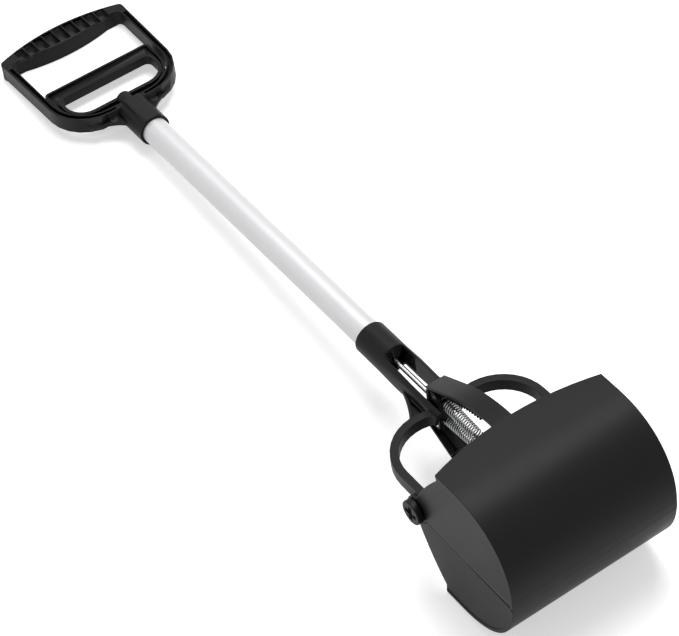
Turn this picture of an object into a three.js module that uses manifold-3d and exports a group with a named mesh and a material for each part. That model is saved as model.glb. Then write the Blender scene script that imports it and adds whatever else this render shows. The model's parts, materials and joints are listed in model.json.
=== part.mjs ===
// A pooper scooper for pet waste: a D-grip with a sliding trigger, a tube, a forked yoke
// and two sprung jaws that a rod and two links open. It lies on its back.
// Millimetres. Tool frame: X runs from the grip to the jaws' tip, Y along the jaws' pivot
// and Z out of the front, with the origin at the middle of the pivot.
import * as THREE from 'three';
import { mergeVertices } from 'three/addons/utils/BufferGeometryUtils.js';
import Module from 'manifold-3d';

const wasm = await Module();
wasm.setup();

// Steps of round forms
const circleSteps = 28;
const pinSteps = 16;
const cornerSteps = 6;
const curveSteps = 12;
const bevelSteps = 2;

// Clearances
const seatGap = 0.3; // between fixed pieces that touch
const runGap = 0.3; // round pins and rods that turn or slide
const sideGap = 0.4; // between flat sides that pass each other
const cutOver = 3; // how far a cut runs past the solid
const blend = 0.6; // how far joined solids reach into each other
const mergeTolerance = 0.001;
const cornerLimitShare = 0.99;

// Tube
const tubeRadius = 11;
const tubeWall = 1.2;
const tubeShown = 290.6; // bare length between yoke and grip
const tubeInYoke = 21;
const tubeBore = tubeRadius - tubeWall;

// Pull rod and its cross pins
const rodRadius = 2;
const crossPinRadius = 1.2;

// Jaws
const jawReach = 105.7; // pivot to tip
const jawHalfDepth = 61.5;
const jawHalfWidth = 68.9;
const jawFlatEnd = 46; // where the panel starts to curve
const jawRoundness = 2.2; // exponent of the panel's curve
const jawCurveSteps = 32;
const jawWall = 2.8;
const rimCrown = 17.4; // rim at the middle of the panel
const rimCorner = 27.5; // rim at the panel's corners
const panelLip = 0.5; // how far the panel stands past the side plates
const seamDepth = 3.4; // the seam lies this far behind the pivot
const seamGap = 0.4;
const earRadius = 10.5;
const plateStep = 7.3; // the front panel's face down to the side plate's upper corner
const plateBowX = 10.4; // pull of the side plate's bowed edge
const plateBowZ = 34.8;
const tongueReachX = 24; // the rear jaw's inner tongue
const tongueReachZ = 21;
const tongueRadius = 9.5;
const tongueWall = 2.7;

// Pivot axle and caps
const axleRadius = 3;
const capRadius = 9.5;
const capThickness = 5.2;
const capBoreDepth = 2.2;
const capRecessDepth = 1.8;
const capRecessLength = 12;
const capRecessWidth = 3.6;
const capBevel = 0.8;

// Yoke
const yokeReach = 150.4; // pivot to the collar's rim
const collarWall = 2.3;
const windowPlace = 29.4; // the collar's rim to the top of the window
const windowCorner = 1.5;
const socketDepth = 43.4; // the rim to the end of the tube's socket
const forkInner = 8.6; // half gap between the fork's walls
const forkWall = 3.8;
const forkHalfDepth = 9.4;
const forkEndFront = 52; // pivot to the walls' ends, front and back
const forkEndBack = 59;
const taperPlace = 28.4; // the rim to where the round collar turns into the fork
const taperLength = 36;
const forkSquareness = 4.5;
const armCentreX = 27.5; // the arm's round bend
const armBend = 38;
const armThickness = 6.3;
const armHalfDepth = 5;
const armRootAngle = 26; // degrees that the bend runs on into the fork
const armBossRadius = 8;
const armBossStep = 0.1; // the boss stands this far past the arm
const webBowX = 79; // pivot to the pull of the web's bowed edge
const webRun = 18; // from there to the start of the web
const webBowY = 17;
const webJoin = 3; // the web ends this far up the arm's bend
const webFront = 0; // the web's rim, level with the rod
const webPocketDepth = 3;
const webRim = 2.2;

// Crosshead
const crossheadFace = 59; // pivot to the face that the springs pull on
const crossheadHalfWidth = 6.6;
const crossheadHalfDepth = 9;
const endPlateThickness = 2.4;
const endPlateRise = 3.6; // above the links' upper pins
const cheekInner = 3.9; // the cheeks hold the links' upper pins
const cheekRadius = 4;
const rodSocketFloor = 3; // left solid under the rod's end
const crossheadPinPlace = 6.5; // back face to cross pin

// Links
const linkPinPlace = 4; // the crosshead's face to the upper pins
const jawPinX = 28; // lower pins, past the pivot
const jawPinDepth = 18.5; // the front panel's face down to the lower pins
const linkPlate = 2.4;
const spineHalfWidth = 2.7;
const spineDepth = 5.2;
const spineStartShare = 0.27; // of the straight upper stretch
const knuckleRadius = 4.4;
const knuckleGap = 0.6; // to the crosshead's block and end plate
const knuckleRise = 4; // above the upper pin
const linkTopStep = 0.2; // the crosshead's back to the plate's end
const linkTopRise = 7; // above the upper pin
const linkBendStart = 44; // the outer face runs straight from the top to here
const linkBendRise = 13.5;
const linkBendEnd = 12;
const linkTailRise = 5.3; // the lower pin to the outer face
const linkTail = 7; // the lower pin to the plate's end
const linkBossRadius = 5.4;
const linkPinRadius = 2;
const pivotPlay = 1.55; // play of the lower pivot, where the linkage's slack is taken up
const linkRibs = 14;
const linkRibThickness = 1.1;
const linkRibDepth = 3.2;
const linkRibStart = 0.24; // share of the link's length at the first rib and the last
const linkRibEnd = 0.62;

// Jaw ears and pins
const jawEarThickness = 2.5;
const jawEarRadius = 5.6;
const jawEarFoot = 8;
const pinHeadRadius = 3.4;
const pinHead = 1.2;
const clipRadius = 4;
const clipThickness = 1;

// Springs
const springRadius = 4.1; // to the middle of the wire
const springWire = 1.15;
const springCurlGap = 0.95;
const springsApart = 0.65; // between the two springs' last curls
const springRise = 2.8; // of the spring's middle, from the last curl to the crosshead
const springTopLeg = 2.4; // straight stretch from the crosshead to the first curl
const springEndX = 21; // pivot to the last curl
const springHookZ = 1.5; // where the straight stretch to the axle ends
const curlSteps = 12;
const wireSides = 6;

// Grip frame
const gripReach = 154; // collar's end to the crown
const crownRise = 10.5; // how far the crown bows past its corners
const gripHalfWidth = 57.9;
const gripWaistStep = 2.7; // the frame is this much narrower at its lower edge, on each side
const gripCornerRadius = 3.8;
const gripFront = 8.5; // the grip bar's faces before and behind the tube's middle
const gripBack = 7.5; // at the bar's underside, from where the back slopes to lie flat on the floor
const gripEdge = 1.4; // rounding of the grip bar's edges
const frameFront = 8.2;
const frameBack = 5.2;
const frameLowerEdge = 32.4; // collar's end to the frame's lower edge
const frameLowerRadius = 36.5;
const gripCollarWall = 2.3;
const sideBar = 6.1; // width of the side bars, at the grip bar and at the lower edge
const sideBarLower = 5.2;
const lowerBar = 5.1;
const gripFloor = 6.4; // the tube's end to the lower bar
const fingerLowerRadius = 33;
const gripBarDepth = 21.6; // crown to the middle of the grip bar's underside
const gripBarEndRun = 6.1; // from the crown's corners
const fingerTopRadius = 6;
const undersideShare = 0.75; // of the finger window's width, for the bar's bowed underside
const frameGrooveRim = 1.6;
const frameGrooveInner = 1.2;
const frameGrooveDepth = 3.4;
const frameGrooveStop = 22; // crown to the channel's end
const pocketCount = 9;
const pocketPitch = 9.6;
const pocketRib = 1.4;
const pocketDepth = 3;
const pocketLip = 1.8;
const panelRise = 0.6; // of the collar's flat front panel above the round collar
const panelHalfWidth = 7.7;
const panelCorner = 2.5;
const braceStartX = 18.5; // thin webs from the collar to the frame's lower bends
const braceStartY = 12.5;
const bracePullX = 28;
const bracePullY = 16.5;
const braceOverlap = 1.5; // into the frame's lower bar
const braceEndPlace = 19.2; // from the frame's side
const braceTipAngle = 40; // degrees round the frame's bend
const braceFront = 1.4;
const braceBack = 1.6;
const slotLength = 6; // the slit between each web and the frame
const slotWidth = 1.2;
const slotOverlap = 0.5; // into the frame's lower bar
const slotPlace = 29.2; // from the frame's side

// Trigger
const triggerGap = 1;
const triggerFront = 4.6;
const triggerBack = 3.9;
const triggerTopEdge = 90.2; // collar's end to the bar's upper edge
const triggerTopRadius = 4.2;
const triggerBar = 13.5;
const triggerSide = 7.3;
const triggerLower = 10.5;
const triggerWindowTopRadius = 5;
const triggerWindowRadius = 16;
const triggerRim = 2;
const triggerInnerRim = 3.2;
const triggerGroove = 3;
const bossRadius = 6.5;
const bossRise = 2; // the boss's middle above the rod
const bossLength = 15;
const bossGap = 0.6;
const bossFloor = 1.8; // left solid over the rod's end
const triggerPinPlace = 6.7; // the boss's start to the cross pin

// Rod bushes and screws
const bushLength = 12;
const bushFlange = 2;
const screwRadius = 1.5;
const screwHeadRadius = 3.4;
const screwHead = 1.8;
const screwEdge = 0.6;
const screwSlotWidth = 1;
const screwSlotDepth = 0.8;
const yokeScrewPlace = 14; // rim to screw
const gripScrewPlace = 15;

// Sizes that follow others
const collarRadius = tubeRadius + collarWall;
const gripCollarRadius = tubeRadius + gripCollarWall;
const panelTop = gripCollarRadius + panelRise;
const forkOuter = forkInner + forkWall;
const endPlateHalfWidth = forkInner - sideGap;
const linkPinZ = crossheadHalfDepth + knuckleRadius + knuckleGap;
const endPlateHalfDepth = linkPinZ + endPlateRise;
const linkHalfWidth = forkInner - sideGap;
const knuckleHalfWidth = cheekInner - sideGap;
const knuckleTop = linkPinZ + knuckleRise;
const linkTopZ = linkPinZ + linkTopRise;
const linkBendZ = linkTopZ + linkBendRise;
const jawPinZ = jawHalfDepth - jawPinDepth;
const linkOuterZ = jawPinZ + linkTailRise;
const springEndZ = springRadius + springWire / 2 + springsApart / 2;
const springTopZ = springEndZ + springRise;
const plateTop = jawHalfDepth - plateStep;
const screwTip = -rodRadius - seatGap;
const gripWaistHalfWidth = gripHalfWidth - gripWaistStep;
const fingerHalfWidth = gripHalfWidth - sideBar;
const fingerLowerHalfWidth = gripWaistHalfWidth - sideBarLower;
const triggerWindowHalfWidth = fingerLowerHalfWidth - triggerGap - triggerSide;

// Places along the tool
const windowTop = yokeReach - windowPlace;
const socketStep = yokeReach - socketDepth;
const taperStart = yokeReach - taperPlace;
const taperEnd = taperStart - taperLength;
const webStart = webBowX + webRun;
const linkPinX = crossheadFace + linkPinPlace;
const crossheadLength = linkPinPlace + knuckleRadius + knuckleGap + endPlateThickness;
const linkTopX = crossheadFace + crossheadLength - linkTopStep;
const linkTailX = jawPinX + linkTail;
const fingerLowerEdge = frameLowerEdge + lowerBar;
const tubeInGrip = frameLowerEdge - gripFloor;
const fingerTopEdge = gripReach - gripBarDepth;
const fingerTopEnds = gripReach - crownRise - gripBarEndRun;
const frameGrooveTop = gripReach - frameGrooveStop;
const braceEndX = frameLowerEdge + braceOverlap;
const braceEndY = gripWaistHalfWidth - braceEndPlace;
const slotPlaceX = frameLowerEdge + slotOverlap;
const slotPlaceY = gripWaistHalfWidth - slotPlace;
const tubeYokeEnd = -(yokeReach - tubeInYoke);
const gripStart = -(yokeReach + tubeShown);
const tubeGripEnd = gripStart - tubeInGrip;
const crossheadStart = -(crossheadFace + crossheadLength);
const frontSeam = -seamDepth;
const rearSeam = -seamDepth - seamGap;
const plateInner = jawHalfWidth - jawWall;
const tongueOuter = plateInner - sideGap;
const tongueInner = tongueOuter - tongueWall;
const armOuter = tongueInner - sideGap;
const armCentreY = armOuter - armBend - armBossStep;
const bossEnd = gripStart - frameLowerEdge - bossGap;
const bossStart = bossEnd - bossLength;
const rodEnd = bossStart + bossFloor;

// Finishes
function blackPlastic() {
  return new THREE.MeshStandardMaterial({ color: 0x17181a, roughness: 0.42, metalness: 0 });
}

function anodisedTube() {
  return new THREE.MeshStandardMaterial({ color: 0xd9dbdc, roughness: 0.45, metalness: 0.7 });
}

function zincSteel() {
  return new THREE.MeshStandardMaterial({ color: 0xb9bcbf, roughness: 0.25, metalness: 1 });
}

// Outlines
function point(x, y) {
  return new THREE.Vector2(x, y);
}

function arc(centreX, centreY, radius, from, to, steps) {
  const points = [];
  for (let step = 0; step <= steps; step += 1) {
    const angle = from + ((to - from) * step) / steps;
    points.push(point(centreX + radius * Math.cos(angle), centreY + radius * Math.sin(angle)));
  }
  return points;
}

function circle(centreX, centreY, radius, steps = circleSteps) {
  return arc(centreX, centreY, radius, 0, 2 * Math.PI, steps).slice(0, -1);
}

function bow(start, pull, end) {
  return new THREE.QuadraticBezierCurve(start, pull, end).getPoints(curveSteps);
}

function rectangle(lowX, lowY, highX, highY) {
  return [point(lowX, lowY), point(highX, lowY), point(highX, highY), point(lowX, highY)];
}

function capsule(startX, startY, endX, endY, radius) {
  const heading = Math.atan2(endY - startY, endX - startX);
  const side = Math.PI / 2;
  return [
    ...arc(endX, endY, radius, heading - side, heading + side, pinSteps),
    ...arc(startX, startY, radius, heading + side, heading + 3 * side, pinSteps),
  ];
}

function mirrored(points) {
  return points.map((each) => point(each.x, -each.y)).reverse();
}

// Corners are [x, y, radius]; a radius of zero leaves the corner sharp, and a radius is
// limited by the edges beside it
function cornerFrames(corners) {
  return corners.map(([x, y, radius], index) => {
    const corner = point(x, y);
    const before = corners[(index + corners.length - 1) % corners.length];
    const after = corners[(index + 1) % corners.length];
    const toBefore = point(before[0], before[1]).sub(corner);
    const toAfter = point(after[0], after[1]).sub(corner);
    const edge = toAfter.length();
    toBefore.normalize();
    toAfter.normalize();
    const half = Math.acos(toBefore.dot(toAfter)) / 2;
    return { corner, toBefore, toAfter, edge, half, radius, reach: radius / Math.tan(half) };
  });
}

function rounded(corners) {
  const frames = cornerFrames(corners);
  const limits = frames.map(({ edge, reach }, index) => {
    const both = reach + frames[(index + 1) % frames.length].reach;
    return Math.min(1, (cornerLimitShare * edge) / Math.max(both, mergeTolerance));
  });
  return frames.flatMap(({ corner, toBefore, toAfter, half, radius }, index) => {
    if (radius === 0) {
      return [corner];
    }
    const limited = radius * Math.min(limits[index], limits[(index + limits.length - 1) % limits.length]);
    const middle = toBefore.clone().add(toAfter).normalize();
    const centre = corner.clone().addScaledVector(middle, limited / Math.sin(half));
    const start = corner.clone().addScaledVector(toBefore, limited / Math.tan(half)).sub(centre);
    const end = corner.clone().addScaledVector(toAfter, limited / Math.tan(half)).sub(centre);
    const turn = Math.atan2(start.cross(end), start.dot(end));
    return arc(centre.x, centre.y, limited, start.angle(), start.angle() + turn, cornerSteps);
  });
}

// Moves a counter-clockwise outline inwards; a negative distance grows it
function inset(points, distance) {
  return points.map((each, index) => {
    const before = points[(index + points.length - 1) % points.length];
    const after = points[(index + 1) % points.length];
    const incoming = each.clone().sub(before).normalize();
    const outgoing = after.clone().sub(each).normalize();
    const normals = [point(-incoming.y, incoming.x), point(-outgoing.y, outgoing.x)];
    const mean = normals[0].clone().add(normals[1]);
    return each.clone().addScaledVector(mean, distance / (1 + normals[0].dot(normals[1])));
  });
}

// Moves an open curve to its right
function shifted(points, distance) {
  return points.map((each, index) => {
    const before = points[Math.max(index - 1, 0)];
    const after = points[Math.min(index + 1, points.length - 1)];
    const heading = after.clone().sub(before).normalize();
    return each.clone().add(point(heading.y, -heading.x).multiplyScalar(distance));
  });
}

// Solids
function solidFrom(geometry) {
  geometry.deleteAttribute('normal');
  geometry.deleteAttribute('uv');
  const merged = mergeVertices(geometry, mergeTolerance);
  const vertProperties = Float32Array.from(merged.attributes.position.array);
  const triVerts = Uint32Array.from(merged.index.array);
  return new wasm.Manifold(new wasm.Mesh({ numProp: 3, vertProperties, triVerts }));
}

// Extrudes an outline: along z it is drawn in x and y, along y in x and z, along x in y and z
function extrude(axis, outline, low, high, bevel = 0) {
  const options = { depth: high - low - 2 * bevel, bevelEnabled: bevel > 0 };
  if (bevel > 0) {
    Object.assign(options, { bevelThickness: bevel, bevelSize: bevel, bevelOffset: -bevel });
    options.bevelSegments = bevelSteps;
  }
  const geometry = new THREE.ExtrudeGeometry(new THREE.Shape(outline), options);
  if (axis === 'y') {
    geometry.translate(0, 0, bevel - high);
    geometry.rotateX(Math.PI / 2);
    return solidFrom(geometry);
  }
  geometry.translate(0, 0, low + bevel);
  if (axis === 'x') {
    const turn = new THREE.Matrix4();
    const [alongX, alongY, alongZ] = [[1, 0, 0], [0, 1, 0], [0, 0, 1]];
    turn.makeBasis(new THREE.Vector3(...alongY), new THREE.Vector3(...alongZ), new THREE.Vector3(...alongX));
    geometry.applyMatrix4(turn);
  }
  return solidFrom(geometry);
}

function rodAlong(axis, first, second, radius, low, high, steps = pinSteps) {
  return extrude(axis, circle(first, second, radius, steps), low, high);
}

function box(lowX, highX, lowY, highY, lowZ, highZ) {
  return extrude('z', rectangle(lowX, lowY, highX, highY), lowZ, highZ);
}

function joined(solids) {
  return solids.reduce((sum, each) => sum.add(each));
}

function without(solid, cuts) {
  return cuts.reduce((rest, each) => rest.subtract(each), solid);
}

// Skins a closed body over rings of three-dimensional points
function loft(rings) {
  const count = rings[0].length;
  const points = rings.flat();
  const triangles = [];
  for (let ringIndex = 0; ringIndex < rings.length - 1; ringIndex += 1) {
    for (let side = 0; side < count; side += 1) {
      const near = ringIndex * count;
      const next = (side + 1) % count;
      triangles.push(near + side, near + next, near + count + next);
      triangles.push(near + side, near + count + next, near + count + side);
    }
  }
  const last = points.length - count;
  for (let side = 1; side < count - 1; side += 1) {
    triangles.push(0, side + 1, side);
    triangles.push(last, last + side, last + side + 1);
  }
  const geometry = new THREE.BufferGeometry().setFromPoints(points);
  geometry.setIndex(triangles);
  return solidFrom(geometry);
}

function meshOf(name, solid, finish) {
  const { vertProperties, triVerts } = solid.getMesh();
  const geometry = new THREE.BufferGeometry();
  geometry.setAttribute('position', new THREE.BufferAttribute(vertProperties, 3));
  geometry.setIndex(new THREE.BufferAttribute(triVerts, 1));
  geometry.computeVertexNormals();
  const mesh = new THREE.Mesh(geometry, finish());
  mesh.name = name;
  return mesh;
}

// Tube
function tubeSolid() {
  const outer = rodAlong('x', 0, 0, tubeRadius, tubeGripEnd, tubeYokeEnd, circleSteps);
  const bore = rodAlong('x', 0, 0, tubeBore, tubeGripEnd - cutOver, tubeYokeEnd + cutOver, circleSteps);
  return without(outer, [bore, ...screwHoles()]);
}

// Screws hold the tube from the back of each collar
const screwSeats = [
  { name: 'yoke_screw', x: -yokeReach + yokeScrewPlace, face: -collarRadius },
  { name: 'grip_screw', x: gripStart - gripScrewPlace, face: -gripCollarRadius },
];

function screwHoles() {
  return screwSeats.map(({ x, face }) =>
    rodAlong('z', x, 0, screwRadius + runGap, face - cutOver, screwTip + seatGap));
}

function screwSolid({ x, face }) {
  const shank = rodAlong('z', x, 0, screwRadius, face - blend, screwTip);
  const under = face - seatGap;
  const head = extrude('z', circle(x, 0, screwHeadRadius, pinSteps), under - screwHead, under, screwEdge);
  const slot = box(x - screwHeadRadius, x + screwHeadRadius, -screwSlotWidth / 2, screwSlotWidth / 2,
    under - screwHead - cutOver, under - screwHead + screwSlotDepth);
  return head.add(shank).subtract(slot);
}

// A bush plugs each end of the tube and guides the rod
function bushSolid(end, outward) {
  const inside = end - outward * bushLength;
  const face = end + outward * seatGap;
  const outside = face + outward * bushFlange;
  const plug = rodAlong('x', 0, 0, tubeBore - seatGap, Math.min(inside, face + outward * blend),
    Math.max(inside, face + outward * blend), circleSteps);
  const flange = rodAlong('x', 0, 0, tubeRadius - seatGap, Math.min(face, outside),
    Math.max(face, outside), circleSteps);
  const low = Math.min(inside, outside) - cutOver;
  const high = Math.max(inside, outside) + cutOver;
  const guide = rodAlong('x', 0, 0, rodRadius + runGap, low, high);
  return without(plug.add(flange), [guide, ...screwHoles()]);
}

// The rod runs from the trigger's boss to the crosshead, with a cross pin at each end
const triggerPinX = bossStart + triggerPinPlace;
const crossheadPinX = crossheadStart + crossheadPinPlace;

function rodSolid() {
  const end = -crossheadFace - rodSocketFloor - seatGap;
  const bar = rodAlong('x', 0, 0, rodRadius, rodEnd, end);
  const holes = [triggerPinX, crossheadPinX].map((x) =>
    rodAlong('y', x, 0, crossPinRadius + seatGap, -rodRadius - cutOver, rodRadius + cutOver, pinSteps / 2));
  return without(bar, holes);
}

function crossPin(x, halfLength) {
  return rodAlong('y', x, 0, crossPinRadius, -halfLength, halfLength, pinSteps / 2);
}

// Yoke: a socket that turns into a fork, with a round arm on each side to the pivot
function bodyRing(x, halfWidth, halfDepth, squareness) {
  const power = 2 / squareness;
  return circle(0, 0, 1, circleSteps).map(({ x: across, y: up }) => new THREE.Vector3(
    x,
    halfWidth * Math.sign(across) * Math.abs(across) ** power,
    halfDepth * Math.sign(up) * Math.abs(up) ** power,
  ));
}

function yokeBody() {
  const roundExponent = 2;
  return loft([
    bodyRing(-yokeReach, collarRadius, collarRadius, roundExponent),
    bodyRing(-taperStart, collarRadius, collarRadius, roundExponent),
    bodyRing(-(taperStart + taperEnd) / 2, (collarRadius + forkOuter) / 2,
      (collarRadius + forkHalfDepth) / 2, (roundExponent + forkSquareness) / 2),
    bodyRing(-taperEnd, forkOuter, forkHalfDepth, forkSquareness),
    bodyRing(-forkEndFront, forkOuter, forkHalfDepth, forkSquareness),
  ]);
}

function armOutline() {
  const root = Math.PI + (armRootAngle * Math.PI) / 180;
  const inner = armBend - armThickness;
  const pivotEnd = armBossRadius / 2;
  return [
    ...arc(-armCentreX, armCentreY, armBend, Math.PI / 2, root, curveSteps),
    ...arc(-armCentreX, armCentreY, inner, root, Math.PI / 2, curveSteps),
    point(pivotEnd, armCentreY + inner),
    point(pivotEnd, armCentreY + armBend),
  ];
}

function webOutline() {
  const bendLeft = -armCentreX - armBend + blend;
  const edge = bow(point(-webStart, forkOuter - blend), point(-webBowX, webBowY), point(bendLeft, armCentreY + webJoin));
  return [...edge, point(bendLeft + armThickness / 2, forkOuter - blend)];
}

function armSolid() {
  const strap = extrude('z', armOutline(), -armHalfDepth, armHalfDepth);
  const bossInner = armOuter - armThickness;
  const boss = rodAlong('y', 0, 0, armBossRadius, bossInner, armOuter, circleSteps);
  const web = extrude('z', webOutline(), -armHalfDepth, webFront);
  const pocket = extrude('z', inset(webOutline().reverse(), webRim), webFront - webPocketDepth, webFront + cutOver);
  return joined([web.subtract(pocket), strap, boss]);
}

function yokeSolid() {
  const socket = rodAlong('x', 0, 0, tubeRadius + seatGap, -yokeReach - cutOver, -socketStep, circleSteps);
  const gap = rounded([
    [-windowTop, -forkInner, windowCorner],
    [0, -forkInner, 0],
    [0, forkInner, 0],
    [-windowTop, forkInner, windowCorner],
  ]);
  const slot = extrude('z', gap, -collarRadius - cutOver, collarRadius + cutOver);
  const slope = [
    point(-forkEndFront, forkHalfDepth),
    point(-forkEndBack, -forkHalfDepth - cutOver),
    point(0, -forkHalfDepth - cutOver),
    point(0, forkHalfDepth),
  ];
  const sloped = extrude('y', slope, -forkOuter - cutOver, forkOuter + cutOver);
  const right = armSolid();
  const left = right.mirror([0, 1, 0]);
  const body = without(yokeBody(), [sloped]);
  const axle = rodAlong('y', 0, 0, axleRadius + seatGap, -armOuter - cutOver, armOuter + cutOver, circleSteps);
  return without(joined([body, right, left]), [socket, slot, axle, ...screwHoles()]);
}

// Crosshead: an end plate and a block on the rod, with two cheeks for each link's pin
function crossheadSolid() {
  const plate = box(crossheadStart, crossheadStart + endPlateThickness, -endPlateHalfWidth, endPlateHalfWidth,
    -endPlateHalfDepth, endPlateHalfDepth);
  const block = box(crossheadStart + blend, -crossheadFace, -crossheadHalfWidth, crossheadHalfWidth,
    -crossheadHalfDepth, crossheadHalfDepth);
  const cheek = [
    ...arc(-linkPinX, linkPinZ, cheekRadius, 0, Math.PI / 2, cornerSteps),
    point(crossheadStart + blend, endPlateHalfDepth - blend),
    point(crossheadStart + blend, crossheadHalfDepth - blend),
    point(-linkPinX + cheekRadius, crossheadHalfDepth - blend),
  ];
  const cheeks = [cheek, mirrored(cheek)].flatMap((each) => bothSides(extrude('y', each, cheekInner, crossheadHalfWidth)));
  const holes = [linkPinZ, -linkPinZ].map((z) =>
    rodAlong('y', -linkPinX, z, linkPinRadius + seatGap, -crossheadHalfWidth - cutOver, crossheadHalfWidth + cutOver));
  const socket = rodAlong('x', 0, 0, rodRadius + seatGap, crossheadStart - cutOver, -crossheadFace - rodSocketFloor);
  const pinHole = rodAlong('y', crossheadPinX, 0, crossPinRadius + seatGap,
    -crossheadHalfWidth - cutOver, crossheadHalfWidth + cutOver, pinSteps / 2);
  return without(joined([plate, block, ...cheeks]), [...holes, socket, pinHole]);
}

// Links: a bent plate with a spine and cross ribs towards the springs, and a knuckle at each end
function linkCurve() {
  const slope = (linkBendZ - linkTopZ) / (linkTopX - linkBendStart);
  const meet = linkTopX - (linkOuterZ - linkTopZ) / slope;
  const start = point(-linkBendStart, linkBendZ);
  const bend = bow(start, point(-meet, linkOuterZ), point(linkBendEnd, linkOuterZ));
  return [point(-linkTopX, linkTopZ), ...bend, point(linkTailX, linkOuterZ)];
}

function linkSolid() {
  const outer = linkCurve();
  const plateShape = [...outer, ...shifted(outer, linkPlate).reverse()];
  const ridge = [outer[0].clone().lerp(outer[1], spineStartShare), ...outer.slice(1)];
  const spineShape = [...ridge, ...shifted(ridge, spineDepth).reverse()];
  const heading = Math.atan2(jawPinZ - linkPinZ, jawPinX + linkPinX);
  const eyeX = jawPinX + pivotPlay * Math.cos(heading);
  const eyeZ = jawPinZ + pivotPlay * Math.sin(heading);
  const reach = linkHalfWidth + cutOver;
  const pinHole = rodAlong('y', -linkPinX, linkPinZ, linkPinRadius + runGap, -reach, reach);
  const eye = rodAlong('y', eyeX, eyeZ, linkPinRadius + pivotPlay + runGap, -reach, reach);
  const parts = [
    extrude('y', plateShape, -linkHalfWidth, linkHalfWidth),
    extrude('y', spineShape, -spineHalfWidth, spineHalfWidth),
    extrude('y', capsule(-linkPinX, linkPinZ, -linkPinX, knuckleTop, knuckleRadius), -knuckleHalfWidth, knuckleHalfWidth),
    rodAlong('y', eyeX, eyeZ, linkBossRadius, -linkHalfWidth, linkHalfWidth, circleSteps),
    ...linkRibSolids(outer),
  ];
  return without(joined(parts), [pinHole, eye]);
}

function linkRibSolids(outer) {
  const path = new THREE.CatmullRomCurve3(outer.map(({ x, y }) => new THREE.Vector3(x, y, 0)));
  const ribs = [];
  for (let rib = 0; rib < linkRibs; rib += 1) {
    const share = linkRibStart + ((linkRibEnd - linkRibStart) * rib) / (linkRibs - 1);
    const place = path.getPointAt(share);
    const tangent = path.getTangentAt(share);
    const half = point(tangent.x, tangent.y).multiplyScalar(linkRibThickness / 2);
    const down = point(tangent.y, -tangent.x);
    const top = point(place.x, place.y).addScaledVector(down, linkPlate - blend);
    const foot = point(place.x, place.y).addScaledVector(down, linkPlate + linkRibDepth);
    const outline = [top.clone().sub(half), foot.clone().sub(half), foot.clone().add(half), top.clone().add(half)];
    ribs.push(extrude('y', outline, -linkHalfWidth, linkHalfWidth));
  }
  return ribs;
}

function linkPin() {
  return rodAlong('y', -linkPinX, linkPinZ, linkPinRadius, -crossheadHalfWidth, crossheadHalfWidth);
}

// Jaws: a curved panel between two side plates that turn on the axle
function jawProfile(inward, start) {
  const across = jawReach - jawFlatEnd - inward;
  const up = jawHalfDepth - inward;
  const power = 2 / jawRoundness;
  const curve = arc(0, 0, 1, -Math.PI / 2, Math.PI / 2, jawCurveSteps).map(({ x, y }) =>
    point(jawFlatEnd + across * Math.abs(x) ** power, up * Math.sign(y) * Math.abs(y) ** power));
  return [point(start, -up), ...curve, point(start, up)];
}

function rimCut() {
  const half = jawHalfWidth + panelLip + cutOver;
  const sag = (rimCorner - rimCrown) * (half / jawHalfWidth) ** 2;
  const edge = bow(point(rimCrown + sag, half), point(rimCrown - sag, 0), point(rimCrown + sag, -half));
  return extrude('z', [...edge, point(-jawReach, -half), point(-jawReach, half)],
    -jawHalfDepth - cutOver, jawHalfDepth + cutOver);
}

function plateCut() {
  const upper = bow(point(0, earRadius), point(plateBowX, plateBowZ), point(rimCorner, plateTop));
  const top = jawHalfDepth + cutOver;
  const edge = [...upper, point(rimCorner, top)];
  const outline = [...edge, point(-jawReach, top), point(-jawReach, -top), ...mirrored(edge)];
  return extrude('y', outline, -jawHalfWidth - cutOver, jawHalfWidth + cutOver);
}

function jawShell() {
  const start = 0;
  const half = jawHalfWidth + panelLip;
  const outer = extrude('y', jawProfile(0, start), -half, half);
  const hollow = extrude('y', jawProfile(jawWall, start - cutOver), -half - cutOver, half + cutOver);
  return without(outer, [hollow, rimCut()]);
}

function bothSides(solid) {
  return [solid, solid.mirror([0, 1, 0])];
}

function sidePlates() {
  const plate = extrude('y', jawProfile(jawWall / 2, 0), plateInner, jawHalfWidth);
  return bothSides(plate.subtract(plateCut()));
}

function jawEars() {
  const top = jawHalfDepth - jawWall + blend;
  const outline = [
    ...arc(jawPinX, jawPinZ, jawEarRadius, Math.PI, 2 * Math.PI, pinSteps),
    point(jawPinX + jawEarFoot, top),
    point(jawPinX - jawEarFoot, top),
  ];
  const inner = linkHalfWidth + sideGap * 2;
  return bothSides(extrude('y', outline, inner, inner + jawEarThickness));
}

function jawHoles() {
  const reach = jawHalfWidth + cutOver;
  return [
    rodAlong('y', 0, 0, axleRadius + runGap, -reach, reach, circleSteps),
    rodAlong('y', jawPinX, jawPinZ, linkPinRadius + seatGap, -reach / 2, reach / 2),
  ];
}

function aboveSeam(seam) {
  const far = 2 * jawReach;
  return box(-far, far, -far, far, seam, far);
}

function frontJawSolid() {
  const upper = joined([jawShell(), ...sidePlates()]).intersect(aboveSeam(frontSeam));
  const discs = bothSides(rodAlong('y', 0, 0, earRadius, plateInner, jawHalfWidth, circleSteps));
  return without(joined([upper, ...discs, ...jawEars()]), jawHoles());
}

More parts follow.
